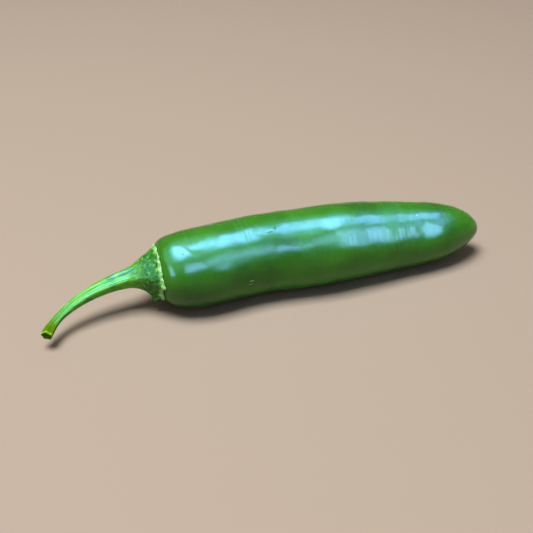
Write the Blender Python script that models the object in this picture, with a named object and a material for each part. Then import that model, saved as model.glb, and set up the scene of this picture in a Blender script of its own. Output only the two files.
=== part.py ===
"""A serrano pepper as picked, lying on its side: the pod, and the stalk that widens into its calyx.

Metres, +Z up. +X runs from the stalk to the pod's tip and the stalk curls towards -Y. The origin is
on the surface that the pepper lies on, under the middle of its box. Until the last step, X counts
from the pod's stalk end, and such an X is called a station.
"""

import math
from functools import partial

import bmesh
import bpy
from mathutils import Vector

MM = 0.001

# The pod's outline
POD_LENGTH = 85.3 * MM
NECK_RADIUS = 9.75 * MM
BELLY_RADIUS = 10.0 * MM
BELLY_STATION = 41.0 * MM
SWELL_LENGTH = 16.0 * MM
SHOULDER_LENGTH = 13.8 * MM
SHOULDER_SQUARENESS = 7.1
TAPER = 0.40
TAPER_CURVE = 1.6
NOSE_LENGTH = 14.8 * MM
NOSE_SQUARENESS = 2.0

# How the pod lies
FLAT_DEPTH = 0.19 * MM
TIP_LIFT = 1.6 * MM
LIFT_STATION = 62.0 * MM
SWAY = 0.95 * MM
SWAY_STATION = 8.8 * MM
SWAY_WAVE = 34.3 * MM
SWAY_FADE = 30.0 * MM

# The stalk: its curve's four control points, and its thickness
STALK_CURVE = (
    Vector((0.2, -0.1, 9.6)) * MM,
    Vector((-11.1, 0.4, 10.1)) * MM,
    Vector((-23.6, -1.8, 6.2)) * MM,
    Vector((-27.7, -10.0, 4.1)) * MM,
)
STALK_LENGTH = 32.0 * MM
ROOT_RADIUS = 2.6 * MM
WAIST_RADIUS = 0.98 * MM
WAIST_DISTANCE = 26.0 * MM
CUT_FLARE = 0.32 * MM
CUT_DEPTH = 0.25 * MM
RIDGES = 5
RIDGE_HEIGHT = 0.06
RIDGE_TURN = math.radians(20)

# The calyx: the skirt that the stalk widens into, and its ragged margin on the pod
SKIRT_WIDTH = 4.45 * MM
SKIRT_REACH = 3.7 * MM
SKIRT_CURVE = 1.5
SKIRT_BLEND = 2.4 * MM
MARGIN_STATION = 0.42 * MM
MARGIN_THICKNESS = 0.65 * MM
MARGIN_ROUNDING = 0.12 * MM
SEAT_GAP = 0.3 * MM
# Each tooth's angle and half width in degrees, and how far it reaches past the margin
TEETH = (
    (20, 13, 0.40 * MM),
    (54, 14, 0.30 * MM),
    (113, 10, 0.32 * MM),
    (148, 14, 0.28 * MM),
    (175, 11, 0.62 * MM),
    (208, 11, 0.36 * MM),
    (266, 13, 0.40 * MM),
    (302, 13, 0.30 * MM),
    (338, 13, 0.50 * MM),
)

# Mesh counts
POD_SEGMENTS = 48
POD_RINGS = 48
STALK_SEGMENTS = 56
SHAFT_RINGS = 22
SHAFT_CROWDING = 1.4
CUT_SHARES = (0.0, 0.5, 0.88)
SEAT_SHARES = (0.8, 0.6, 0.42, 0.26, 0.13, 0.04, 0.0)

# Short steps along the skin, from which its slope and its direction are worked out
SLOPE_STEP = 0.01 * MM
PAST_MARGIN = 1.05


def smooth(share):
    """0 below 0, 1 above 1, and an even ease between them."""
    share = min(max(share, 0.0), 1.0)
    return share * share * (3 - 2 * share)


def end_rounding(distance, length, squareness):
    """The share of the full radius at a distance from an end that is rounded over a length."""
    if distance >= length:
        return 1.0
    return (1 - (1 - max(distance, 0.0) / length) ** 2) ** (1 / squareness)


def body_radius(station):
    """The pod's radius before its ends are rounded: a faint swell, then a long taper."""
    if station < BELLY_STATION:
        swelling = smooth((station - BELLY_STATION) / SWELL_LENGTH + 1)
        return NECK_RADIUS + (BELLY_RADIUS - NECK_RADIUS) * swelling
    along = (station - BELLY_STATION) / (POD_LENGTH - BELLY_STATION)
    return BELLY_RADIUS * (1 - TAPER * along**TAPER_CURVE)


def pod_radius(station):
    shoulder = end_rounding(station, SHOULDER_LENGTH, SHOULDER_SQUARENESS)
    nose = end_rounding(POD_LENGTH - station, NOSE_LENGTH, NOSE_SQUARENESS)
    return body_radius(station) * shoulder * nose


def pod_centre(station):
    """The pod's axis: it sways a little from side to side, and the tip lifts off the surface."""
    along = station - SWAY_STATION
    sway = -SWAY * math.cos(math.tau * along / SWAY_WAVE) * math.exp(-along / SWAY_FADE)
    lift = TIP_LIFT * smooth((station - LIFT_STATION) / (POD_LENGTH - LIFT_STATION))
    return Vector((station, sway, body_radius(station) - FLAT_DEPTH + lift))


def around(angle):
    """The direction out from the pod's axis at an angle that turns from +Y to +Z."""
    return Vector((0, math.cos(angle), math.sin(angle)))


def pod_skin(station, angle, outwards=0.0):
    """A point on the pod's skin, or that far outside it. What would sink into the surface is pressed flat."""
    radius = pod_radius(station)
    slope = (pod_radius(station + SLOPE_STEP) - radius) / SLOPE_STEP
    normal = (around(angle) - Vector((slope, 0, 0))).normalized()
    point = pod_centre(station) + around(angle) * radius + normal * outwards
    point.z = max(point.z, 0.0)
    return point


def tooth_reach(angle):
    """How far the calyx's margin reaches past its mean line at an angle."""
    reach = 0.0
    for middle, half_width, height in TEETH:
        away = abs((math.degrees(angle) - middle + 180) % 360 - 180)
        reach += height * max(0.0, 1 - away / half_width)
    return reach


def margin_skin(share, angle, outwards):
    """A point over the pod's skin, at a share of the way from the pod's end to the calyx's margin."""
    station = share * (MARGIN_STATION + tooth_reach(angle))
    return pod_skin(station, angle, outwards)


def stalk_place(distance):
    """The point that far along the stalk's curve, with the two directions square to the curve there."""
    share = distance / STALK_LENGTH
    rest = 1 - share
    start, near, far, end = STALK_CURVE
    point = start * rest**3 + near * 3 * rest**2 * share + far * 3 * rest * share**2 + end * share**3
    heading = (near - start) * rest**2 + (far - near) * 2 * rest * share + (end - far) * share**2
    side = heading.cross(Vector((0, 0, 1))).normalized()
    upright = side.cross(heading).normalized()
    return point, side, upright


def stalk_radius(distance, angle):
    """The stalk's radius: a skirt at the calyx, a slow taper, and a small flare at the cut end."""
    skirt = SKIRT_WIDTH * math.exp(-((distance / SKIRT_REACH) ** SKIRT_CURVE))
    shaft = ROOT_RADIUS + (WAIST_RADIUS - ROOT_RADIUS) * min(distance / WAIST_DISTANCE, 1)
    flare = CUT_FLARE * smooth((distance - WAIST_DISTANCE) / (STALK_LENGTH - WAIST_DISTANCE))
    ridge = RIDGE_HEIGHT * math.cos(RIDGES * (angle - RIDGE_TURN)) * smooth(distance / (2 * SKIRT_REACH))
    return (shaft + flare) * (1 + ridge) + skirt


def stalk_skin(distance, angle):
    """A point on the stalk. Near the pod it bends over to the outer edge of the calyx's margin."""
    place, side, upright = stalk_place(distance)
    outward = side * math.cos(angle) + upright * math.sin(angle)
    point = place + outward * stalk_radius(distance, angle)
    spread = max(0.0, 1 - distance / SKIRT_BLEND) ** 2
    return point.lerp(margin_skin(1, angle, SEAT_GAP + MARGIN_THICKNESS), spread)


def cut_skin(share, angle):
    """A point on the cut face, which is a shallow dish, at a share of its radius."""
    place = stalk_place(STALK_LENGTH)[0]
    rim = stalk_skin(STALK_LENGTH, angle)
    inwards = (stalk_place(STALK_LENGTH - CUT_DEPTH)[0] - place) * (1 - share**2)
    return place.lerp(rim, share) + inwards


def margin_edge(angle):
    """The middle of the margin's thick edge, which is rounded."""
    outer = margin_skin(1, angle, SEAT_GAP + MARGIN_THICKNESS)
    inner = margin_skin(1, angle, SEAT_GAP)
    along = (margin_skin(PAST_MARGIN, angle, SEAT_GAP) - inner).normalized()
    return outer.lerp(inner, 0.5) + along * MARGIN_ROUNDING


def stalk_rings():
    """Each ring of the stalk, from the cut end to the calyx's seat, as a function of the angle."""
    rings = [partial(cut_skin, share) for share in CUT_SHARES]
    for index in range(SHAFT_RINGS + 1):
        share = 1 - index / SHAFT_RINGS
        rings.append(partial(stalk_skin, STALK_LENGTH * share**SHAFT_CROWDING))
    rings.append(margin_edge)
    rings.append(lambda angle: margin_skin(1, angle, SEAT_GAP))
    rings.extend(partial(margin_skin, share, outwards=SEAT_GAP) for share in SEAT_SHARES)
    return rings


def pod_rings():
    """Each ring of the pod, from its stalk end to its tip, closer together at both ends."""
    shares = ((1 - math.cos(math.pi * index / POD_RINGS)) / 2 for index in range(POD_RINGS + 1))
    return [partial(pod_skin, POD_LENGTH * share) for share in shares]


def new_material(name, colour, roughness):
    material = bpy.data.materials.new(name)
    material.use_nodes = True
    shader = material.node_tree.nodes["Principled BSDF"]
    shader.inputs["Base Color"].default_value = (*colour, 1)
    shader.inputs["Roughness"].default_value = roughness
    shader.inputs["Metallic"].default_value = 0.0
    material.diffuse_color = (*colour, 1)
    return material


def ringed_solid(name, rings, segments, material, collection):
    """A ball whose circles of latitude are moved to the rings, each given as a function of the angle.

    The first ring is the ball's top. Its angles turn the other way round there, so the faces are turned too.
    """
    shape = bmesh.new()
    bmesh.ops.create_uvsphere(shape, u_segments=segments, v_segments=len(rings) - 1, radius=1)
    half_step = math.pi / segments
    for vertex in shape.verts:
        latitude = math.acos(max(-1.0, min(1.0, vertex.co.z))) / math.pi
        angle = math.atan2(vertex.co.y, vertex.co.x) + half_step
        vertex.co = rings[round(latitude * (len(rings) - 1))](angle)
    bmesh.ops.reverse_faces(shape, faces=shape.faces)
    mesh = bpy.data.meshes.new(name)
    shape.to_mesh(mesh)
    shape.free()
    mesh.materials.append(material)
    mesh.shade_smooth()
    solid = bpy.data.objects.new(name, mesh)
    collection.objects.link(solid)
    return solid


def centre_on_surface(solids):
    """Move the meshes so that the origin is under the middle of the box that holds them all."""
    points = [vertex.co for solid in solids for vertex in solid.data.vertices]
    low = Vector(min(point[axis] for point in points) for axis in range(3))
    high = Vector(max(point[axis] for point in points) for axis in range(3))
    shift = Vector((-(low.x + high.x) / 2, -(low.y + high.y) / 2, -low.z))
    for solid in solids:
        for vertex in solid.data.vertices:
            vertex.co += shift


def clear_scene():
    for thing in list(bpy.data.objects):
        bpy.data.objects.remove(thing, do_unlink=True)


def build_pepper():
    clear_scene()
    collection = bpy.data.collections.new("serrano_pepper")
    bpy.context.scene.collection.children.link(collection)
    pod_green = new_material("waxy_pod_skin", (0.045, 0.190, 0.022), 0.16)
    stalk_green = new_material("green_stalk", (0.110, 0.330, 0.035), 0.42)
    pod = ringed_solid("pod", pod_rings(), POD_SEGMENTS, pod_green, collection)
    stalk = ringed_solid("stalk_with_calyx", stalk_rings(), STALK_SEGMENTS, stalk_green, collection)
    centre_on_surface((pod, stalk))


build_pepper()
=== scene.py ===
# %% [markdown]
# A serrano pepper, lying on its side
#
# This lesson models one fresh serrano pepper and gives it its finish. The pepper has two pieces. The pod
# is the fruit, a smooth waxy tube with a blunt shoulder and a rounded tip. The stalk grows out of it: it
# is thin and ridged, and where it meets the pod it widens into the calyx, a skirt with a pale, ragged
# margin.
#
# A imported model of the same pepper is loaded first. It holds the right size and place, so each new piece
# is built over it and then stands in for it.

# %% Load the frame
import math
import random

import bmesh
import bpy
from mathutils import Matrix, Vector


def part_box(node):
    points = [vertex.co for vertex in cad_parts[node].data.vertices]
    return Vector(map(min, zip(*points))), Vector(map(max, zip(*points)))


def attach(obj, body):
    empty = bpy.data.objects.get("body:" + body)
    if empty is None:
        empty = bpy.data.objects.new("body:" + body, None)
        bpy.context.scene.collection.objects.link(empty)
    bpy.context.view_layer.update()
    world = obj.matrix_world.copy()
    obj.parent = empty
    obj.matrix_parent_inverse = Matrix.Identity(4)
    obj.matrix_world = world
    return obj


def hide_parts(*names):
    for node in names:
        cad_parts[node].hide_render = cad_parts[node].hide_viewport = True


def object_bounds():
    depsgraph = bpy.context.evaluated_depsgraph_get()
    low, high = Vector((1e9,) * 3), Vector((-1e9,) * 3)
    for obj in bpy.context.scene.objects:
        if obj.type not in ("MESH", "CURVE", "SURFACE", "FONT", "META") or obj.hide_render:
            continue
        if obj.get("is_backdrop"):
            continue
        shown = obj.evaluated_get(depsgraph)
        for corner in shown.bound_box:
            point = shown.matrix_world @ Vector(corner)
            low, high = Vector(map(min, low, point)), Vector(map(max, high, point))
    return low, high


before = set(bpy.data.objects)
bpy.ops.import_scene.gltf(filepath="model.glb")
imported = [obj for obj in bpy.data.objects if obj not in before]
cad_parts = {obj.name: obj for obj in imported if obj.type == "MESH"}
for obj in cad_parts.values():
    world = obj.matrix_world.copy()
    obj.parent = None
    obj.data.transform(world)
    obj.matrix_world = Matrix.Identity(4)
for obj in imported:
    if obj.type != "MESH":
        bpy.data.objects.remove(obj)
cad_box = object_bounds()
bpy.ops.object.select_all(action="DESELECT")

MM = 0.001
pod_low, pod_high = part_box("pod")
print("pod", [round(v / MM, 2) for v in (*pod_low, *pod_high)])

# %% [markdown]
# The camera
#
# The camera looks down on the pepper from the front, a little from the stalk's side, as a person does who
# leans over it. It comes first because every later step is judged through it. It sits on a line back
# from the point it looks at, so two angles and a distance place it. A lens of about 60 mm keeps the pod's
# two ends in proportion.

# %% Place the camera
CAMERA_AZIMUTH = math.radians(-16.8)
CAMERA_ELEVATION = math.radians(34.0)
CAMERA_DISTANCE = 235 * MM
CAMERA_AIM = Vector((1.73, 8.40, 0)) * MM
LENS_IN_IMAGE_WIDTHS = 900 / 533
SENSOR_WIDTH_IN_MM = 36

camera_data = bpy.data.cameras.new("camera")
camera_data.sensor_width = SENSOR_WIDTH_IN_MM
camera_data.lens = SENSOR_WIDTH_IN_MM * LENS_IN_IMAGE_WIDTHS
camera_data.clip_start = 10 * MM
camera = bpy.data.objects.new("camera", camera_data)
bpy.context.scene.collection.objects.link(camera)

level = math.cos(CAMERA_ELEVATION)
back = Vector((
    math.sin(CAMERA_AZIMUTH) * level,
    -math.cos(CAMERA_AZIMUTH) * level,
    math.sin(CAMERA_ELEVATION),
))
camera.location = CAMERA_AIM + back * CAMERA_DISTANCE
camera.rotation_euler = (-back).to_track_quat("-Z", "Y").to_euler()
bpy.context.scene.camera = camera
print("camera at", [round(v / MM) for v in camera.location], "mm, lens", round(camera_data.lens, 1))

# %% [markdown]
# The pod's measures
#
# A serrano's pod is nearly as thick at its neck as at its belly, and tapers slowly to a blunt tip. It grew
# on the plant, so it isn't straight: it sways a little from side to side and its tip lifts off the floor.
# A few lengths describe all of that. A station is a distance from the pod's stalk end.

# %% Measures of the pod
POD_LENGTH = pod_high.x - pod_low.x
NECK_RADIUS = 9.75 * MM
BELLY_RADIUS = 10.0 * MM
BELLY_STATION = 41.0 * MM
SWELL_LENGTH = 16.0 * MM
SHOULDER_LENGTH = 13.8 * MM
SHOULDER_SQUARENESS = 7.1
TAPER = 0.40
TAPER_CURVE = 1.6
NOSE_LENGTH = 14.8 * MM
NOSE_SQUARENESS = 2.0

FLAT_DEPTH = 0.19 * MM
TIP_LIFT = 1.6 * MM
LIFT_STATION = 62.0 * MM
AXIS_Y = 0.2 * MM
SWAY = 0.95 * MM
SWAY_STATION = 8.8 * MM
SWAY_WAVE = 34.3 * MM
SWAY_FADE = 30.0 * MM


def smooth(share):
    """0 below 0, 1 above 1, and an even ease between them."""
    share = min(max(share, 0.0), 1.0)
    return share * share * (3 - 2 * share)


def body_radius(station):
    """The pod's radius before its ends are rounded."""
    if station < BELLY_STATION:
        swelling = smooth((station - BELLY_STATION) / SWELL_LENGTH + 1)
        return NECK_RADIUS + (BELLY_RADIUS - NECK_RADIUS) * swelling
    along = (station - BELLY_STATION) / (POD_LENGTH - BELLY_STATION)
    return BELLY_RADIUS * (1 - TAPER * along**TAPER_CURVE)


def end_rounding(distance, length, squareness):
    """The share of the full radius at a distance from an end that is rounded over a length."""
    if distance >= length:
        return 1.0
    return (1 - (1 - max(distance, 0.0) / length) ** 2) ** (1 / squareness)


def pod_radius(station):
    shoulder = end_rounding(station, SHOULDER_LENGTH, SHOULDER_SQUARENESS)
    nose = end_rounding(POD_LENGTH - station, NOSE_LENGTH, NOSE_SQUARENESS)
    return body_radius(station) * shoulder * nose


def pod_centre(station):
    """The middle of the pod at a station."""
    along = station - SWAY_STATION
    sway = -SWAY * math.cos(math.tau * along / SWAY_WAVE) * math.exp(-along / SWAY_FADE)
    lift = TIP_LIFT * smooth((station - LIFT_STATION) / (POD_LENGTH - LIFT_STATION))
    height = body_radius(station) - FLAT_DEPTH + lift
    return Vector((pod_low.x + station, AXIS_Y + sway, height))


print("pod", round(POD_LENGTH / MM, 1), "mm long,", round(2 * BELLY_RADIUS / MM, 1), "mm thick")

# %% [markdown]
# Shaping the pod
#
# A pod could be a sphere that is stretched, but then its blunt shoulder and its long body would have to
# share the same few loops. Extruding a ring again and again, and scaling each new ring, puts every loop
# where the outline needs it: close together at the two ends, where the skin turns, and far apart along the
# body.
#
# Both ends are closed with a grid of squares and not with a fan of triangles, because a fan pinches in a
# glossy reflection. A grid is flat, so its middle is then pulled out with proportional editing.
#
# Extruding doesn't always number edges and faces in the same order. That shows as soon as something random
# is dealt out to them in turn, so the last cell sorts them by their places.

# %% Spread the rings along the pod
POD_RINGS = 44
FIRST_RING_SHARE = 2 / POD_RINGS


def ring_station(index):
    """A ring's station. The rings lie closer together at both ends."""
    share = FIRST_RING_SHARE + (1 - 2 * FIRST_RING_SHARE) * index / (POD_RINGS - 1)
    return POD_LENGTH * (1 - math.cos(math.pi * share)) / 2


stations = [ring_station(index) for index in range(POD_RINGS)]
print(POD_RINGS, "rings, the first", round(stations[0] / MM, 2), "mm from the pod's stalk end")

# %% Extrude the pod ring by ring
POD_COLUMNS = 32
# A subdivided ring shrinks a little inside its own corners, so each ring starts that much too wide.
ROUNDING_ALLOWANCE = 3 / (2 + math.cos(math.tau / POD_COLUMNS))


def apply_place(piece):
    """Moves an object's place and turn into its mesh."""
    bpy.ops.object.select_all(action="DESELECT")
    bpy.context.view_layer.objects.active = piece
    piece.select_set(True)
    bpy.ops.object.transform_apply(location=True, rotation=True, scale=True)


def extrude_ring(centre, old_centre, growth):
    """Extrudes the selected ring to a new centre and scales it there, across X only."""
    bpy.ops.mesh.extrude_region_move(TRANSFORM_OT_translate={"value": centre - old_centre})
    bpy.ops.transform.resize(value=(1, growth, growth), center_override=centre)


bpy.ops.mesh.primitive_circle_add(
    vertices=POD_COLUMNS,
    radius=pod_radius(stations[0]) * ROUNDING_ALLOWANCE,
    location=pod_centre(stations[0]),
    rotation=(0, math.pi / 2, 0),
)
pod = bpy.context.object
pod.name = "pod_waxy_skin"
apply_place(pod)
bpy.ops.object.mode_set(mode="EDIT")
bpy.ops.mesh.select_all(action="SELECT")
for old, new in zip(stations, stations[1:]):
    extrude_ring(pod_centre(new), pod_centre(old), pod_radius(new) / pod_radius(old))
print("pod extruded,", len(bmesh.from_edit_mesh(pod.data).verts), "vertices")

# %% Close both ends and dome them
SAME_PLACE = 0.01 * MM
NEAR_MIDDLE = 0.2 * MM


def select_where(piece, test):
    """Selects the vertices whose places pass a test, in edit mode, and says how many there are."""
    shape = bmesh.from_edit_mesh(piece.data)
    bpy.ops.mesh.select_all(action="DESELECT")
    for vertex in shape.verts:
        vertex.select = test(vertex.co)
    shape.select_flush_mode()
    bmesh.update_edit_mesh(piece.data)
    return sum(vertex.select for vertex in shape.verts)


for station, end in ((stations[0], pod_low.x), (stations[-1], pod_high.x)):
    ring_x = pod_centre(station).x
    select_where(pod, lambda place: abs(place.x - ring_x) < SAME_PLACE)
    bpy.ops.mesh.fill_grid(span=POD_COLUMNS // 4)
    middle = pod_centre(station)
    select_where(pod, lambda place: (place - middle).length < NEAR_MIDDLE)
    bpy.ops.transform.translate(
        value=(end - ring_x, 0, 0),
        use_proportional_edit=True,
        proportional_edit_falloff="INVERSE_SQUARE",
        proportional_size=pod_radius(station),
    )
bpy.ops.mesh.select_all(action="SELECT")
bpy.ops.mesh.normals_make_consistent(inside=False)
print("pod closed,", len(bmesh.from_edit_mesh(pod.data).faces), "faces")

# %% Fix the order of vertices, edges and faces
def put_in_order(elements, key):
    """Sorts a mesh's vertices, edges or faces by a key and numbers them again."""
    ranks = {element: rank for rank, element in enumerate(sorted(elements, key=key))}
    elements.sort(key=ranks.get)
    elements.index_update()


def fix_order(piece):
    """Sorts a mesh by its vertices' places, in edit mode."""
    shape = bmesh.from_edit_mesh(piece.data)
    put_in_order(shape.verts, lambda vertex: tuple(vertex.co))
    for elements in (shape.edges, shape.faces):
        put_in_order(elements, lambda element: sorted(vertex.index for vertex in element.verts))
    bmesh.update_edit_mesh(piece.data)


fix_order(pod)
bpy.ops.object.mode_set(mode="OBJECT")
print("first vertex at", [round(v / MM, 2) for v in pod.data.vertices[0].co])

# %% [markdown]
# Making it grow
#
# The form so far is too perfect for a fruit. Subdivision rounds it. Displace modifiers with soft cloud
# textures then push the skin in and out, by a few tenths of a millimetre in broad lumps and by less in
# small ones, which is what makes the long highlights wander. What would sink into the floor is pressed
# flat by scaling it to nothing in height.

# %% Round the pod and give it lumps
POD_SUBDIVISION = 2
# Each kind of lump: its size and its height
LUMPS = ((13 * MM, 0.42 * MM), (5 * MM, 0.20 * MM), (2.2 * MM, 0.05 * MM))


def apply_modifier(piece, kind, **settings):
    """Adds a modifier with its settings and applies it."""
    bpy.context.view_layer.objects.active = piece
    modifier = piece.modifiers.new(kind.lower(), kind)
    for name, value in settings.items():
        setattr(modifier, name, value)
    bpy.ops.object.modifier_apply(modifier=modifier.name)


def cloud_texture(name, size):
    texture = bpy.data.textures.new(name, "CLOUDS")
    texture.noise_scale = size
    texture.noise_depth = 1
    return texture


apply_modifier(pod, "SUBSURF", levels=POD_SUBDIVISION, render_levels=POD_SUBDIVISION)
for size, height in LUMPS:
    apply_modifier(
        pod,
        "DISPLACE",
        texture=cloud_texture("pod lumps", size),
        texture_coords="LOCAL",
        strength=height,
        mid_level=0.5,
    )
bpy.ops.object.mode_set(mode="EDIT")
pressed = select_where(pod, lambda place: place.z < 0)
bpy.ops.transform.resize(value=(1, 1, 0), center_override=(0, 0, 0))
bpy.ops.object.mode_set(mode="OBJECT")
bpy.ops.object.shade_smooth()
print("pod", len(pod.data.polygons), "faces,", pressed, "vertices on the floor")

# %% [markdown]
# The stalk's measures
#
# The stalk tapers from the calyx to a thin waist and flares a little at its cut end. It is easiest to
# shape while it is straight and lies along X, with the pod's end at X = 0. It is bent afterwards. Five low
# ridges run along it, and the same five run out over the calyx as faint ribs.

# %% Measures of the stalk
STALK_LENGTH = 32.0 * MM
ROOT_RADIUS = 2.6 * MM
WAIST_RADIUS = 0.98 * MM
WAIST_DISTANCE = 26.0 * MM
CUT_FLARE = 0.32 * MM
CUT_DEPTH = 0.28 * MM

RIDGES = 5
RIDGE_HEIGHT = 0.10
RIDGE_TURN = math.radians(20)

SKIRT_WIDTH = 4.45 * MM
SKIRT_REACH = 3.7 * MM
SKIRT_CURVE = 1.5
MARGIN_TOP = 1.15 * MM
MARGIN_BOTTOM = 0.35 * MM
MARGIN_MIDDLE = (MARGIN_TOP + MARGIN_BOTTOM) / 2
MARGIN_RADIUS = 6.3 * MM
MARGIN_ROUNDING = 0.12 * MM


def stalk_radius(distance):
    """The stalk's radius that far from the pod, before its ridges."""
    shaft = ROOT_RADIUS + (WAIST_RADIUS - ROOT_RADIUS) * min(distance / WAIST_DISTANCE, 1)
    flare = CUT_FLARE * smooth((distance - WAIST_DISTANCE) / (STALK_LENGTH - WAIST_DISTANCE))
    skirt = SKIRT_WIDTH * math.exp(-((distance / SKIRT_REACH) ** SKIRT_CURVE))
    return shaft + flare + skirt


def turn_of(place):
    """The angle round the straight stalk. It is 0 on the side that will be +Y, and 90 degrees at the top."""
    return math.atan2(place.z, -place.y) % math.tau


def from_axis(place):
    return math.hypot(place.y, place.z)


print("stalk", round(2 * stalk_radius(STALK_LENGTH) / MM, 2), "mm thick at its cut end")

# %% [markdown]
# Shaping the straight stalk
#
# It is extruded ring by ring like the pod, from the cut end to the calyx's margin. There the rings turn
# round the skirt's thick edge and go on under it, where the calyx sits on the pod. Then the first ring is
# extruded the other way, inwards, for the shallow dish that the cut leaves as it dries.

# %% Extrude the stalk
STALK_COLUMNS = 80
STALK_RINGS = 26
STALK_CROWDING = 1.4
# The shares of the margin's radius at which rings lie under the calyx
SEAT_SHARES = (1.0, 0.92, 0.7, 0.3)

shaft_distances = [
    STALK_LENGTH * (1 - index / STALK_RINGS) ** STALK_CROWDING for index in range(STALK_RINGS)
]
stalk_rings = [(distance, stalk_radius(distance)) for distance in shaft_distances if distance > MARGIN_TOP]
stalk_rings += [(MARGIN_TOP, MARGIN_RADIUS), (MARGIN_MIDDLE, MARGIN_RADIUS + MARGIN_ROUNDING)]
stalk_rings += [(MARGIN_BOTTOM, MARGIN_RADIUS * share) for share in SEAT_SHARES]
bpy.ops.mesh.primitive_circle_add(
    vertices=STALK_COLUMNS,
    radius=stalk_rings[0][1],
    location=(STALK_LENGTH, 0, 0),
    rotation=(0, math.pi / 2, 0),
)
stalk = bpy.context.object
stalk.name = "stalk_and_calyx"
apply_place(stalk)
bpy.ops.object.mode_set(mode="EDIT")
bpy.ops.mesh.select_all(action="SELECT")
for (old, old_radius), (new, new_radius) in zip(stalk_rings, stalk_rings[1:]):
    extrude_ring(Vector((new, 0, 0)), Vector((old, 0, 0)), new_radius / old_radius)
bpy.ops.mesh.fill_grid(span=STALK_COLUMNS // 4)
print(len(stalk_rings), "rings from the cut end to the calyx's seat")

# %% Dish the cut end
# Each step inwards: its share of the cut's radius and of the dish's depth
CUT_STEPS = ((0.90, 0.0), (0.78, 0.35), (0.60, 0.75), (0.30, 1.0))

select_where(stalk, lambda place: place.x > STALK_LENGTH - SAME_PLACE)
share, depth = 1.0, 0.0
for next_share, next_depth in CUT_STEPS:
    old = Vector((STALK_LENGTH - CUT_DEPTH * depth, 0, 0))
    new = Vector((STALK_LENGTH - CUT_DEPTH * next_depth, 0, 0))
    extrude_ring(new, old, next_share / share)
    share, depth = next_share, next_depth
bpy.ops.mesh.fill_grid(span=STALK_COLUMNS // 4)
bpy.ops.mesh.select_all(action="SELECT")
bpy.ops.mesh.normals_make_consistent(inside=False)
print("cut end dished by", round(CUT_DEPTH / MM, 2), "mm")

# %% [markdown]
# Ridges
#
# Each ridge could be an edge loop that is pulled out. Here every column of vertices is scaled away from
# the stalk's axis or towards it, by a wave that goes round five times. Columns that lie at the same place
# in the wave are scaled together. The ridges are full on the shaft and half as high, as ribs, on the
# calyx.

# %% Raise the ridges
columns_a_ridge = STALK_COLUMNS // RIDGES
RIB_START = 2 * SKIRT_REACH


def wave_step(place):
    """Which of a ridge's columns a place lies in."""
    return round(turn_of(place) / math.tau * STALK_COLUMNS - 0.5) % columns_a_ridge


for step in range(columns_a_ridge):
    turn = (step + 0.5) * math.tau / STALK_COLUMNS
    height = RIDGE_HEIGHT * math.cos(RIDGES * (turn - RIDGE_TURN))
    select_where(stalk, lambda place: place.x > RIB_START and wave_step(place) == step)
    bpy.ops.transform.resize(value=(1, 1 + height, 1 + height), center_override=(0, 0, 0))
    select_where(stalk, lambda place: MARGIN_TOP < place.x <= RIB_START and wave_step(place) == step)
    bpy.ops.transform.resize(value=(1, 1 + height / 2, 1 + height / 2), center_override=(0, 0, 0))
print(RIDGES, "ridges of", columns_a_ridge, "columns each")

# %% [markdown]
# The calyx's margin
#
# The calyx was a green cup round the flower bud. On the ripe pod its margin has some larger teeth, many
# small ones, and is torn in between. Each tooth is a pull on the margin with proportional editing, so that
# the skirt's edge follows it. Two teeth under the stalk curled back when they dried.

# %% Pull out the teeth
# Each tooth's angle and half width in degrees, and its reach in millimetres
TEETH = (
    (20, 13, 0.75),
    (54, 14, 0.70),
    (84, 9, 0.45),
    (112, 12, 0.90),
    (131, 7, 0.30),
    (150, 12, 0.70),
    (167, 9, 1.00),
    (180, 9, 2.30),
    (219, 9, 1.50),
    (306, 13, 0.65),
    (338, 13, 0.80),
)
# The same for those that curled back, and how far they lift off the pod
CURLED_TEETH = ((244, 14, 0.60, 1.5), (280, 14, 0.40, 0.8))
SMALL_TEETH = 26
SMALL_TOOTH_REACH = 0.24
SMALL_TOOTH_HALF_WIDTH = 6


def outwards(degrees):
    """The direction away from the straight stalk's axis at a turn."""
    turn = math.radians(degrees)
    return Vector((0, -math.cos(turn), math.sin(turn)))


def pull_tooth(degrees, half_width, reach, curl=0.0):
    """Pulls the margin's edge out at a turn, and less and less of what lies around it."""
    middle = outwards(degrees) * MARGIN_RADIUS + Vector((MARGIN_MIDDLE, 0, 0))
    shape = bmesh.from_edit_mesh(stalk.data)
    nearest = min((vertex.co - middle).length for vertex in shape.verts)
    grip = (MARGIN_TOP - MARGIN_BOTTOM) / 2
    select_where(stalk, lambda place: (place - middle).length < nearest + grip)
    bpy.ops.transform.translate(
        value=outwards(degrees) * reach * MM + Vector((curl * MM, 0, 0)),
        use_proportional_edit=True,
        proportional_edit_falloff="LINEAR",
        proportional_size=MARGIN_RADIUS * math.radians(half_width),
    )


for degrees, half_width, reach in TEETH:
    pull_tooth(degrees, half_width, reach)
for degrees, half_width, reach, curl in CURLED_TEETH:
    pull_tooth(degrees, half_width, reach, curl)
chance = random.Random(7)
for index in range(SMALL_TEETH):
    degrees = (index + chance.uniform(0.1, 0.9)) * 360 / SMALL_TEETH
    pull_tooth(degrees, SMALL_TOOTH_HALF_WIDTH, chance.uniform(-0.4, 1.0) * SMALL_TOOTH_REACH)
print(len(TEETH) + SMALL_TEETH, "teeth on the pod,", len(CURLED_TEETH), "curled back")

# %% [markdown]
# Roughening the margin
#
# One subdivision gives the edge enough vertices to look torn. Its points are then moved at random by up to a
# third of a millimetre, always the same way because the seed and the order of the vertices are fixed. The
# skirt gets shallow dents from a Displace modifier, which a vertex group keeps off the shaft.

# %% Roughen the margin and the skirt
TORN = 0.34 * MM
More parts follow.
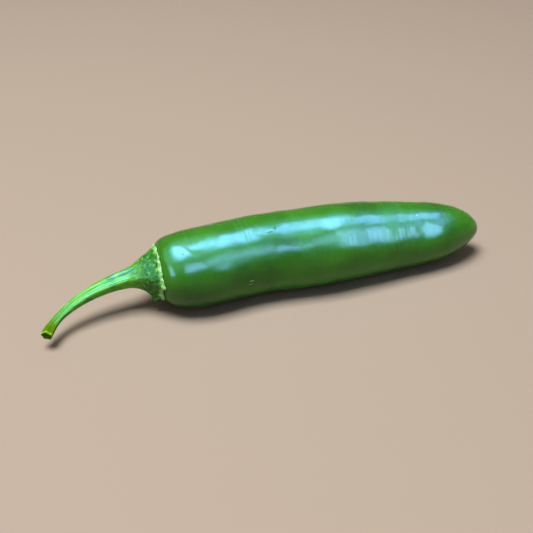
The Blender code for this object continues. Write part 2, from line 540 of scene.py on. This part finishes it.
# Where the torn edge starts and ends along the stalk, how far out it starts, and where the dents start
TORN_FROM = MARGIN_BOTTOM * 0.9
TORN_TO = MARGIN_TOP * 1.15
TORN_RADIUS = MARGIN_RADIUS * 0.93
DENTED_FROM = MARGIN_BOTTOM * 1.05
DENT_SIZE = 0.9 * MM
DENT_DEPTH = 0.40 * MM

fix_order(stalk)
bpy.ops.object.mode_set(mode="OBJECT")
apply_modifier(stalk, "SUBSURF", levels=1, render_levels=1)
bpy.ops.object.mode_set(mode="EDIT")
torn = select_where(
    stalk, lambda place: TORN_FROM < place.x < TORN_TO and from_axis(place) > TORN_RADIUS
)
bpy.ops.transform.vertex_random(offset=TORN, uniform=0, normal=0, seed=5)
bpy.ops.object.mode_set(mode="OBJECT")

skirt = stalk.vertex_groups.new(name="skirt")
for vertex in stalk.data.vertices:
    near = smooth((RIB_START - vertex.co.x) / SKIRT_REACH) * (vertex.co.x > DENTED_FROM)
    skirt.add([vertex.index], near, "REPLACE")
apply_modifier(
    stalk,
    "DISPLACE",
    texture=cloud_texture("calyx dents", DENT_SIZE),
    texture_coords="LOCAL",
    strength=DENT_DEPTH,
    mid_level=0.5,
    vertex_group="skirt",
)
print(torn, "margin vertices torn")

# %% [markdown]
# Bending the stalk
#
# Colours and streaks have to follow the stalk, so each vertex notes where it was while the stalk was
# straight. Then a Curve modifier bends it: the straight stalk's X runs along the curve. The curve leaves
# the pod's end nearly level, sinks, and hooks towards the front.

# %% Note the straight places and bend
CURVE_START = Vector((pod_low.x + 0.2 * MM, AXIS_Y - 0.1 * MM, 9.6 * MM))
CURVE_NEAR = CURVE_START + Vector((-11.3, 0.5, 0.5)) * MM
CURVE_FAR = CURVE_START + Vector((-23.8, -1.7, -3.4)) * MM
CURVE_END = CURVE_START + Vector((-27.9, -9.9, -5.5)) * MM

straight = stalk.data.attributes.new("straight", "FLOAT_VECTOR", "POINT")
for vertex in stalk.data.vertices:
    straight.data[vertex.index].vector = vertex.co

path_data = bpy.data.curves.new("stalk path", "CURVE")
path_data.dimensions = "3D"
path_data.twist_mode = "Z_UP"
path_data.resolution_u = 64
spline = path_data.splines.new("BEZIER")
spline.bezier_points.add(1)
for point, place, before, after in zip(
    spline.bezier_points,
    (CURVE_START, CURVE_END),
    (CURVE_START * 2 - CURVE_NEAR, CURVE_FAR),
    (CURVE_NEAR, CURVE_END * 2 - CURVE_FAR),
):
    point.co, point.handle_left, point.handle_right = place, before, after
path = bpy.data.objects.new("stalk path", path_data)
bpy.context.scene.collection.objects.link(path)
bpy.context.view_layer.update()
apply_modifier(stalk, "CURVE", object=path, deform_axis="POS_X")
bpy.data.objects.remove(path)
print("stalk bent, its end at", [round(v / MM, 1) for v in CURVE_END])

# %% [markdown]
# Seating the calyx
#
# The margin has to lie on the round shoulder of the pod, teeth and all. A Shrinkwrap modifier does that:
# it moves each vertex to the nearest point on the pod's skin and holds it a little above. The under edge
# gets a small gap and the upper edge the margin's thickness more, and the pull fades out up the skirt. The
# wrap leaves the edge as smooth as a bead, so a last Displace modifier crumples it.

# %% Mark the margin's two edges
# How far from the axis the margin starts, and over how much of the skirt its pull fades out
SEATED_RADIUS = MARGIN_RADIUS * 0.6
SKIRT_BLEND = 2.2 * MM

under = stalk.vertex_groups.new(name="under edge")
over = stalk.vertex_groups.new(name="upper edge")
for vertex in stalk.data.vertices:
    was = Vector(stalk.data.attributes["straight"].data[vertex.index].vector)
    if from_axis(was) < SEATED_RADIUS:
        continue
    if was.x < MARGIN_MIDDLE:
        under.add([vertex.index], 1.0, "REPLACE")
    elif was.x < MARGIN_TOP + SKIRT_BLEND:
        fade = 1 - max(0.0, was.x - MARGIN_TOP) / SKIRT_BLEND
        curled = any(
            abs((math.degrees(turn_of(was)) - degrees + 180) % 360 - 180) < half_width
            for degrees, half_width, *_ in CURLED_TEETH
        )
        over.add([vertex.index], 0.0 if curled else fade**2, "REPLACE")
print("marked the", under.name, "and the", over.name)

# %% Lay the margin on the pod
SEAT_GAP = 0.12 * MM
MARGIN_THICKNESS = 0.50 * MM
CRUMPLE_SIZE = 0.7 * MM
CRUMPLE_DEPTH = 0.40 * MM

for group, gap in (("under edge", SEAT_GAP), ("upper edge", SEAT_GAP + MARGIN_THICKNESS)):
    apply_modifier(
        stalk,
        "SHRINKWRAP",
        target=pod,
        wrap_method="NEAREST_SURFACEPOINT",
        wrap_mode="ABOVE_SURFACE",
        offset=gap,
        vertex_group=group,
    )
apply_modifier(
    stalk,
    "DISPLACE",
    texture=cloud_texture("margin crumples", CRUMPLE_SIZE),
    texture_coords="LOCAL",
    strength=CRUMPLE_DEPTH,
    mid_level=0.5,
    vertex_group="upper edge",
)
apply_modifier(stalk, "SUBSURF", levels=1, render_levels=1)
bpy.ops.object.select_all(action="DESELECT")
stalk.select_set(True)
bpy.ops.object.shade_smooth()
print("stalk", len(stalk.data.polygons), "faces")

# %% [markdown]
# Adding nodes and colours
#
# Every finish below is a small graph of nodes. One helper adds a node, sets it up and links it, and one
# turns the hex colours that a picker shows into the linear values that Blender's sockets take. Some
# sockets share their name, so those are given by their number. On a Mix node, _2 and _3 are its two
# values, _6 and _7 its two colours, and output 2 is the mixed colour.

# %% Helpers for the finishes
MIX_RESULT = 2


def colour(hex_value):
    """An sRGB hex colour as linear red, green, blue and alpha."""
    channels = [int(hex_value[place : place + 2], 16) / 255 for place in (1, 3, 5)]
    linear = [c / 12.92 if c <= 0.04045 else ((c + 0.055) / 1.055) ** 2.4 for c in channels]
    return (*linear, 1.0)


def add_node(material, kind, settings=None, **inputs):
    """Adds a node, sets its properties, and gives its inputs a value or another node's output."""
    tree = material.node_tree
    node = tree.nodes.new(kind)
    for name, value in (settings or {}).items():
        setattr(node, name, value)
    for name, value in inputs.items():
        socket = node.inputs[int(name[1:])] if name[1:].isdigit() else node.inputs[name.replace("_", " ")]
        if isinstance(value, bpy.types.NodeSocket):
            tree.links.new(value, socket)
        else:
            socket.default_value = value
    return node


def new_finish(name):
    """A material with only its shader and output."""
    material = bpy.data.materials.new(name)
    material.use_nodes = True
    return material, material.node_tree.nodes["Principled BSDF"]


print("middle grey is", round(colour("#808080")[0], 3), "in linear light")

# %% [markdown]
# Waxy pepper skin
#
# A pepper's skin is a thin, clear layer of wax over green flesh. The eye sees a deep green with some
# yellow in it, and on top of that a sharp reflection, because wax is smooth. The green is mixed from a
# deeper and a fresher one in broad patches. Fine ripples run round the pod, more in some places than in
# others. They bend the reflection a little and are duller on their crests, so the long highlights break
# into streaks. A few small marks, where the skin was rubbed or has a pore, have a colour of their own and
# no shine.

# %% Mix the pod's greens
PATCH = 17 * MM
SPECK = 0.5 * MM
DEEP_GREEN = colour("#1e5508")
FRESH_GREEN = colour("#30750c")
SPECK_GREEN = colour("#4a9022")

skin, shader = new_finish("waxy_pepper_skin")
place = add_node(skin, "ShaderNodeTexCoord").outputs["Object"]
patches = add_node(
    skin, "ShaderNodeTexNoise", Vector=place, Scale=1 / PATCH, Detail=3.0, Roughness=0.55
).outputs["Fac"]
patchiness = add_node(
    skin, "ShaderNodeMapRange", Value=patches, From_Min=0.35, From_Max=0.65
).outputs["Result"]
green = add_node(
    skin, "ShaderNodeMix", {"data_type": "RGBA"},
    Factor=patchiness, _6=DEEP_GREEN, _7=FRESH_GREEN,
).outputs[MIX_RESULT]
specks = add_node(
    skin, "ShaderNodeTexNoise", Vector=place, Scale=1 / SPECK, Detail=2.0, Roughness=0.6
).outputs["Fac"]
speckle = add_node(
    skin, "ShaderNodeMapRange", Value=specks, From_Min=0.55, From_Max=0.75, To_Max=0.25
).outputs["Result"]
pod_green = add_node(
    skin, "ShaderNodeMix", {"data_type": "RGBA"}, Factor=speckle, _6=green, _7=SPECK_GREEN
).outputs[MIX_RESULT]
print("pod green mixed in patches of", round(PATCH / MM), "mm")

# %% Mark the pod where it was rubbed
# Each mark: its middle and its half length, width and depth in millimetres, and its colour
MARKS = (
    ("dry fleck", (-7.2, -9.1, 8.9), (0.75, 0.9, 0.16), "#a9c79a"),
    ("dry fleck below it", (-7.4, -9.1, 7.9), (0.7, 0.9, 0.12), "#8fb27c"),
    ("scratch", (-1.1, -3.9, 18.6), (1.2, 0.26, 0.8), "#1a561c"),
    ("scratch's hook", (0.3, -3.1, 18.9), (0.35, 0.9, 0.8), "#1a561c"),
    ("pale pore", (37.6, -3.2, 16.0), (0.22, 0.22, 0.3), "#9fd0a0"),
    ("dark pore", (-22.7, -5.6, 17.3), (0.25, 0.25, 0.4), "#12380c"),
)

rubbed = 0.0
for name, middle, half_sizes, tint in MARKS:
    scale = [1 / (half_size * MM) for half_size in half_sizes]
    offset = [-distance * MM * factor for distance, factor in zip(middle, scale)]
    nearby = add_node(skin, "ShaderNodeMapping", Vector=place, Location=offset, Scale=scale).outputs["Vector"]
    away = add_node(skin, "ShaderNodeVectorMath", {"operation": "LENGTH"}, _0=nearby).outputs["Value"]
    cover = add_node(
        skin, "ShaderNodeMapRange", Value=away, From_Min=1.0, From_Max=0.5, To_Max=0.9
    ).outputs["Result"]
    pod_green = add_node(
        skin, "ShaderNodeMix", {"data_type": "RGBA"}, Factor=cover, _6=pod_green, _7=colour(tint)
    ).outputs[MIX_RESULT]
    rubbed = add_node(
        skin, "ShaderNodeMath", {"operation": "MAXIMUM"}, _0=rubbed, _1=cover
    ).outputs[0]
    print(name, "at", middle)

# %% Ripple the wax
RIPPLE = 0.7 * MM
RIPPLE_LENGTH = 11 * MM

stretched = add_node(
    skin, "ShaderNodeMapping", Vector=place, Scale=(1 / RIPPLE, 1 / RIPPLE_LENGTH, 1 / RIPPLE_LENGTH)
).outputs["Vector"]
ripples = add_node(
    skin, "ShaderNodeTexNoise", Vector=stretched, Scale=1.0, Detail=2.0, Roughness=0.5
).outputs["Fac"]
print("ripples", round(RIPPLE / MM, 1), "mm apart")

# %% Ripple some places more than others
RIPPLED_PATCH = 10 * MM
# The heights between which the ripples set in, because the skin is smooth underneath
RIPPLED_FROM = (5 * MM, 10 * MM)
# Where the skin creased most: the middle and the radius of each place, in millimetres
CREASED = (((9, -8, 14), 7), ((21, -7, 14), 8), ((31, -5, 15), 9))
CREASED_MOST = 0.65

rippled_patches = add_node(
    skin, "ShaderNodeTexNoise", Vector=place, Scale=1 / RIPPLED_PATCH, Detail=1.0
).outputs["Fac"]
rippling = add_node(
    skin, "ShaderNodeMapRange", Value=rippled_patches, From_Min=0.56, From_Max=0.76, To_Min=0.12
).outputs["Result"]
for middle, radius in CREASED:
    offset = [-distance / radius for distance in middle]
    nearby = add_node(
        skin, "ShaderNodeMapping", Vector=place, Location=offset, Scale=[1 / (radius * MM)] * 3
    ).outputs["Vector"]
    away = add_node(skin, "ShaderNodeVectorMath", {"operation": "LENGTH"}, _0=nearby).outputs["Value"]
    creased = add_node(
        skin, "ShaderNodeMapRange", {"interpolation_type": "SMOOTHSTEP"},
        Value=away, From_Min=1.0, From_Max=0.2, To_Max=CREASED_MOST,
    ).outputs["Result"]
    rippling = add_node(
        skin, "ShaderNodeMath", {"operation": "MAXIMUM"}, _0=rippling, _1=creased
    ).outputs[0]
height = add_node(skin, "ShaderNodeSeparateXYZ", Vector=place).outputs["Z"]
upper_side = add_node(
    skin, "ShaderNodeMapRange", Value=height, From_Min=RIPPLED_FROM[0], From_Max=RIPPLED_FROM[1]
).outputs["Result"]
rippling = add_node(skin, "ShaderNodeMath", {"operation": "MULTIPLY"}, _0=rippling, _1=upper_side).outputs[0]
print(len(CREASED), "creased places")

# %% Finish the pod
RIPPLE_HEIGHT = 0.06 * MM
# The roughness and the coat's weight, between the ripples and on their crests
WAX_ROUGHNESS = (0.24, 0.42)
WAX_COAT = (0.28, 0.05)
RUBBED_ROUGHNESS = 0.9

ripple_height = add_node(
    skin, "ShaderNodeMath", {"operation": "MULTIPLY"}, _0=ripples, _1=rippling
).outputs[0]
crests = add_node(skin, "ShaderNodeMapRange", Value=ripples, From_Min=0.36, From_Max=0.58).outputs["Result"]
dull_crests = add_node(
    skin, "ShaderNodeMath", {"operation": "MULTIPLY"}, _0=crests, _1=rippling
).outputs[0]
relief = add_node(
    skin, "ShaderNodeBump", Height=ripple_height, Strength=1.0, Distance=RIPPLE_HEIGHT
).outputs["Normal"]
skin_roughness = add_node(
    skin, "ShaderNodeMapRange", Value=dull_crests, To_Min=WAX_ROUGHNESS[0], To_Max=WAX_ROUGHNESS[1]
).outputs["Result"]
dullness = add_node(
    skin, "ShaderNodeMix", Factor=rubbed, _2=skin_roughness, _3=RUBBED_ROUGHNESS
).outputs[0]
whole_wax = add_node(
    skin, "ShaderNodeMapRange", Value=dull_crests, To_Min=WAX_COAT[0], To_Max=WAX_COAT[1]
).outputs["Result"]
wax = add_node(skin, "ShaderNodeMix", Factor=rubbed, _2=whole_wax, _3=0.0).outputs[0]
skin.node_tree.links.new(pod_green, shader.inputs["Base Color"])
skin.node_tree.links.new(dullness, shader.inputs["Roughness"])
skin.node_tree.links.new(relief, shader.inputs["Normal"])
skin.node_tree.links.new(wax, shader.inputs["Coat Weight"])
shader.inputs["IOR"].default_value = 1.48
shader.inputs["Specular IOR Level"].default_value = 0.22
shader.inputs["Coat Roughness"].default_value = 0.10
pod.data.materials.append(skin)
print("pod finished with", skin.name)

# %% [markdown]
# Green stalk skin
#
# The stalk has little wax, so it is only half glossy. It is a fresher, yellower green than the pod, with
# long fine streaks and a few broad darker patches of painted shade, and it is duller, darker and yellower
# towards its cut end. The calyx is darker, with pale specks that are partly its own colour and partly
# painted glints, and its margin is pale where the skin has dried and torn. All of it follows the places
# that were noted while the stalk was straight.
#
# The graph has many nodes of the same kinds, so three tables lay it out. Noises are patterns of one size.
# A share turns a noise or a distance into a value that the finish can use. A green mixes two colours by a
# share, and later greens build on earlier ones, so the last one is the whole stalk.

# %% Lay out the stalk's noises
STREAK = 0.25 * MM
STREAK_LENGTH = 9 * MM
# Each noise: its name, its size and its detail
# The patches noise lays broad darker patches of painted shade on the shaft.
NOISES = (("mottles", 0.8 * MM, 4.0), ("painted shade patches", 3.5 * MM, 1.0), ("tears", 1.6 * MM, 3.0))

green_skin, shader = new_finish("green_stalk_skin")
was = add_node(green_skin, "ShaderNodeAttribute", {"attribute_name": "straight"}).outputs["Vector"]
stretched = add_node(
    green_skin, "ShaderNodeMapping", Vector=was, Scale=(1 / STREAK_LENGTH, 1 / STREAK, 1 / STREAK)
).outputs["Vector"]
flat = add_node(green_skin, "ShaderNodeMapping", Vector=was, Scale=(0, 1, 1)).outputs["Vector"]
values = {
    "along": add_node(green_skin, "ShaderNodeSeparateXYZ", Vector=was).outputs["X"],
    "streaks": add_node(
        green_skin, "ShaderNodeTexNoise", Vector=stretched, Scale=1.0, Detail=3.0, Roughness=0.6
    ).outputs["Fac"],
    "radius": add_node(green_skin, "ShaderNodeVectorMath", {"operation": "LENGTH"}, _0=flat).outputs["Value"],
}
for name, size, detail in NOISES:
    values[name] = add_node(
        green_skin, "ShaderNodeTexNoise", Vector=was, Scale=1 / size, Detail=detail, Roughness=0.62
    ).outputs["Fac"]
print(len(NOISES), "noises and the streaks")

# %% Turn noises and distances into shares
YELLOWING = (22 * MM, 30 * MM)
CUT_RADIUS = stalk_radius(STALK_LENGTH)
# Each share: its name, what it follows and between which values, and what it goes from and to
SHARES = (
    ("streaky", "streaks", (0.35, 0.65), (0.0, 1.0)),
    ("in painted shade", "painted shade patches", (0.52, 0.66), (0.0, 0.7)),
    ("yellowed", "along", YELLOWING, (0.0, 1.0)),
    ("on the calyx", "along", (RIB_START, SKIRT_REACH * 0.9), (0.0, 1.0)),
    ("mottled", "mottles", (0.36, 0.58), (0.0, 1.0)),
    # Pale specks on the calyx, partly its own colour and partly painted glints.
    ("pale specks and painted glints", "mottles", (0.59, 0.68), (0.0, 0.9)),
    ("at the end", "along", (STALK_LENGTH - 2 * CUT_DEPTH, STALK_LENGTH - 1.5 * CUT_DEPTH), (0.0, 1.0)),
    ("inside the rim", "radius", (CUT_RADIUS * 0.9, CUT_RADIUS * 0.8), (0.0, 1.0)),
    ("torn back", "tears", (0.35, 0.65), (-0.65 * MM, 0.25 * MM)),
    ("roughness", "along", YELLOWING, (0.25, 0.70)),
    ("gloss", "along", YELLOWING, (0.24, 0.0)),
    ("grain", "along", (SKIRT_REACH, RIB_START), (1.0, 0.25)),
)
for name, source, (start, end), (low, high) in SHARES:
    values[name] = add_node(
        green_skin, "ShaderNodeMapRange",
        Value=values[source], From_Min=start, From_Max=end, To_Min=low, To_Max=high,
    ).outputs["Result"]
print(len(SHARES), "shares")

# %% Mark off the margin and the cut face
MARGIN_FADE = 0.12 * MM

frayed = add_node(
    green_skin, "ShaderNodeMath", {"operation": "ADD"}, _0=values["along"], _1=values["torn back"]
).outputs[0]
values["on the margin"] = add_node(
    green_skin, "ShaderNodeMapRange",
    Value=frayed, From_Min=MARGIN_TOP + MARGIN_FADE, From_Max=MARGIN_TOP - MARGIN_FADE,
).outputs["Result"]
values["on the cut"] = add_node(
    green_skin, "ShaderNodeMath", {"operation": "MULTIPLY"},
    _0=values["inside the rim"], _1=values["at the end"],
).outputs[0]
print("margin and cut face marked off")

# %% Mix the stalk's greens
# Each green: its name, the share that mixes it, and its two colours. Those named here were mixed before it.
GREENS = (
    ("streaked", "streaky", "#3e8c16", "#68b834"),
    # The shaft's darker green, mixed in at the patches, is painted shade.
    ("shaft", "in painted shade", "streaked", "#2a6e12"),
    # The end's green is darker and yellower than the shaft's.
    ("darker yellower end", "streaky", "#3a6406", "#548208"),
    ("whole shaft", "yellowed", "shaft", "darker yellower end"),
    ("skirt", "mottled", "#164a06", "#327c1a"),
    # The calyx's pale specks are partly its own colour and partly painted glints.
    ("calyx", "pale specks and painted glints", "skirt", "#88c478"),
    ("above the margin", "on the calyx", "whole shaft", "calyx"),
    ("margin", "mottled", "#5c9c3a", "#94c880"),
    ("outside", "on the margin", "above the margin", "margin"),
    ("rim", "at the end", "outside", "#6ea82c"),
    ("cut face", "mottled", "#2c4a0a", "#4e7218"),
    ("all", "on the cut", "rim", "cut face"),
)
greens = {}
for name, share, *tints in GREENS:
    below, above = (greens[tint] if tint in greens else colour(tint) for tint in tints)
    greens[name] = add_node(
        green_skin, "ShaderNodeMix", {"data_type": "RGBA"}, Factor=values[share], _6=below, _7=above
    ).outputs[MIX_RESULT]
print(len(greens), "greens mixed")

# %% Finish the stalk
GRAIN_DEPTH = 0.14 * MM

grain = add_node(
    green_skin, "ShaderNodeMix", Factor=values["on the calyx"], _2=values["streaks"], _3=values["mottles"]
).outputs[0]
relief = add_node(
    green_skin, "ShaderNodeBump", Height=grain, Strength=values["grain"], Distance=GRAIN_DEPTH
).outputs["Normal"]
green_skin.node_tree.links.new(greens["all"], shader.inputs["Base Color"])
green_skin.node_tree.links.new(values["roughness"], shader.inputs["Roughness"])
green_skin.node_tree.links.new(values["gloss"], shader.inputs["Specular IOR Level"])
green_skin.node_tree.links.new(relief, shader.inputs["Normal"])
shader.inputs["IOR"].default_value = 1.45
stalk.data.materials.append(green_skin)
print("stalk finished with", green_skin.name)

# %% [markdown]
# The floor and the light
#
# The pepper lies on a plain, pale surface. The key light is a softbox overhead and a little to the left,
# so the shadow is short and soft. What a glossy skin shows is a picture of the lights round it, so the
# highlights get lights of their own: cool, soft-edged cards that shine on gloss only, as reflector cards
# do in a studio. Those overhead give the bright band along the pod's top and those at the front the softer
# one below it. Each band takes a few cards in a row, so it can swell and narrow on its way. A narrow card
# at the left gives the small spot on the shoulder, and a wide, faint one the haze that a bright room
# leaves on wax. A weak fill light at the front keeps the shadow from going black.

# %% Lay the floor
FLOOR_SIZE = 4.0

bpy.ops.mesh.primitive_plane_add(size=FLOOR_SIZE, location=(0, 0, 0))
floor = bpy.context.object
floor.name = "floor"
paper, shader = new_finish("matte_paper")
shader.inputs["Base Color"].default_value = colour("#928980")
shader.inputs["Roughness"].default_value = 1.0
shader.inputs["Specular IOR Level"].default_value = 0.0
floor.data.materials.append(paper)
floor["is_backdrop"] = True
print("floor", FLOOR_SIZE, "m wide")

# %% Hang the key light and the fill
LIGHT_DISTANCE = 0.8
# Each softbox: its place, how far it spans, its brightness and its tint. Places and spans are in degrees.
SOFTBOXES = (
    ("key softbox", (86, -12), (26, 26), 28.6, "#fff8f0"),
    ("fill softbox", (32, 0), (50, 36), 0.3, "#fff8f0"),
)


def facing(across, slant):
    """A place and turn that faces the pepper. Across goes from the front over the top, slant to the right."""
    across, slant = math.radians(across), math.radians(slant)
    direction = Vector((
        math.sin(slant),
        -math.cos(slant) * math.cos(across),
        math.cos(slant) * math.sin(across),
    ))
    upright = direction.cross(Vector((1, 0, 0))).normalized()
    side = upright.cross(direction)
    return direction * LIGHT_DISTANCE, Matrix((side, upright, direction)).transposed().to_euler()


def span(degrees):
    """How wide a light is that covers so many degrees."""
    return 2 * LIGHT_DISTANCE * math.tan(math.radians(degrees) / 2)


for name, (across, slant), (wide, high), radiance, tint in SOFTBOXES:
    light = bpy.data.lights.new(name, "AREA")
    light.shape = "RECTANGLE"
    light.size, light.size_y = span(wide), span(high)
    light.energy = radiance * math.pi * light.size * light.size_y
    light.color = colour(tint)[:3]
    softbox = bpy.data.objects.new(name, light)
    softbox.location, softbox.rotation_euler = facing(across, slant)
    softbox.visible_glossy = False
    bpy.context.scene.collection.objects.link(softbox)
    print(name, round(light.energy, 1), "W")

# %% Plan the cards for the highlights
# Each card: its edges across from front to back and its edges from left to right, in degrees, its brightness
# and tint, and the shares of it over which its edges and its ends fade
CARDS = (
    ("overhead left card", (58, 114), (-42, 13), 68, "#78b4ff", 0.42, 0.42),
    ("overhead middle card", (78, 108), (-16, 18), 52, "#78b4ff", 0.4, 0.35),
    ("overhead right card", (68, 120), (8, 32), 50, "#78b4ff", 0.35, 0.3),
    ("overhead end card", (74, 110), (26, 48), 30, "#78b4ff", 0.3, 0.3),
    ("overhead tip card", (56, 88), (38, 52), 16, "#78b4ff", 0.3, 0.3),
    ("front left card", (20, 54), (-22, 13), 26, "#84bdff", 0.4, 0.25),
    ("front middle card", (22, 66), (4, 26), 17, "#84bdff", 0.5, 0.35),
    ("front end card", (13, 72), (21, 46), 36, "#84bdff", 0.35, 0.3),
    ("shoulder card", (18, 54), (-68, -42), 20, "#90c8ff", 0.3, 0.3),
    ("haze card", (36, 140), (-76, 62), 5, "#98e0e8", 0.45, 0.35),
)
print(len(CARDS), "cards planned")

# %% Hang the cards
def glowing(name, radiance, tint, edge_softness, end_softness):
    """Light that fades out towards the edges of whatever it is put on."""
    material = bpy.data.materials.new(name)
    material.use_nodes = True
    material.node_tree.nodes.clear()
    uv = add_node(material, "ShaderNodeTexCoord").outputs["UV"]
    glow = radiance
    for axis, softness in (("X", end_softness), ("Y", edge_softness)):
        share = add_node(material, "ShaderNodeSeparateXYZ", Vector=uv).outputs[axis]
        off_middle = add_node(
            material, "ShaderNodeMath", {"operation": "SUBTRACT"}, _0=share, _1=0.5
        ).outputs[0]
        size = add_node(material, "ShaderNodeMath", {"operation": "ABSOLUTE"}, _0=off_middle).outputs[0]
        fade = add_node(
            material, "ShaderNodeMapRange", {"interpolation_type": "SMOOTHSTEP"},
            Value=size, From_Min=0.5, From_Max=0.5 - softness,
        ).outputs["Result"]
        glow = add_node(material, "ShaderNodeMath", {"operation": "MULTIPLY"}, _0=fade, _1=glow).outputs[0]
    light = add_node(material, "ShaderNodeEmission", Color=colour(tint), Strength=glow).outputs[0]
    add_node(material, "ShaderNodeOutputMaterial", Surface=light)
    return material


for name, (front, rear), (left, right), *glow in CARDS:
    location, rotation = facing((front + rear) / 2, (left + right) / 2)
    bpy.ops.mesh.primitive_plane_add(size=1, location=location, rotation=rotation)
    card = bpy.context.object
    card.name = name
    card.scale = (span(right - left), span(rear - front), 1)
    card.data.materials.append(glowing(name, *glow))
    card.visible_camera = card.visible_diffuse = card.visible_shadow = False
    card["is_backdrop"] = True
print("the last card is", round(card.scale.x, 2), "by", round(card.scale.y, 2), "m")

# %% Light the room
ROOM_LIGHT = 0.20
ROOM_TINT = colour("#ffecdc")

world = bpy.data.worlds.new("soft room")
world.use_nodes = True
world.node_tree.nodes["Background"].inputs["Color"].default_value = ROOM_TINT
world.node_tree.nodes["Background"].inputs["Strength"].default_value = ROOM_LIGHT
bpy.context.scene.world = world
bpy.context.scene.view_settings.view_transform = "Standard"
print("room light", ROOM_LIGHT)

# %% [markdown]
# Putting it together
#
# Each new piece stands in for its solid in the imported model and moves with the same body.

# %% Stand in for the solids and check the size
for piece, node, slot in ((pod, "pod", "pod_skin"), (stalk, "stalk_with_calyx", "stalk")):
    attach(piece, "root")
    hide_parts(node)
visual_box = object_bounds()
sizes = {
    "cad": [list(corner) for corner in cad_box],
    "visual": [list(corner) for corner in visual_box],
}
for name, (low, high) in sizes.items():
    print(name, [round((b - a) / MM, 2) for a, b in zip(low, high)])
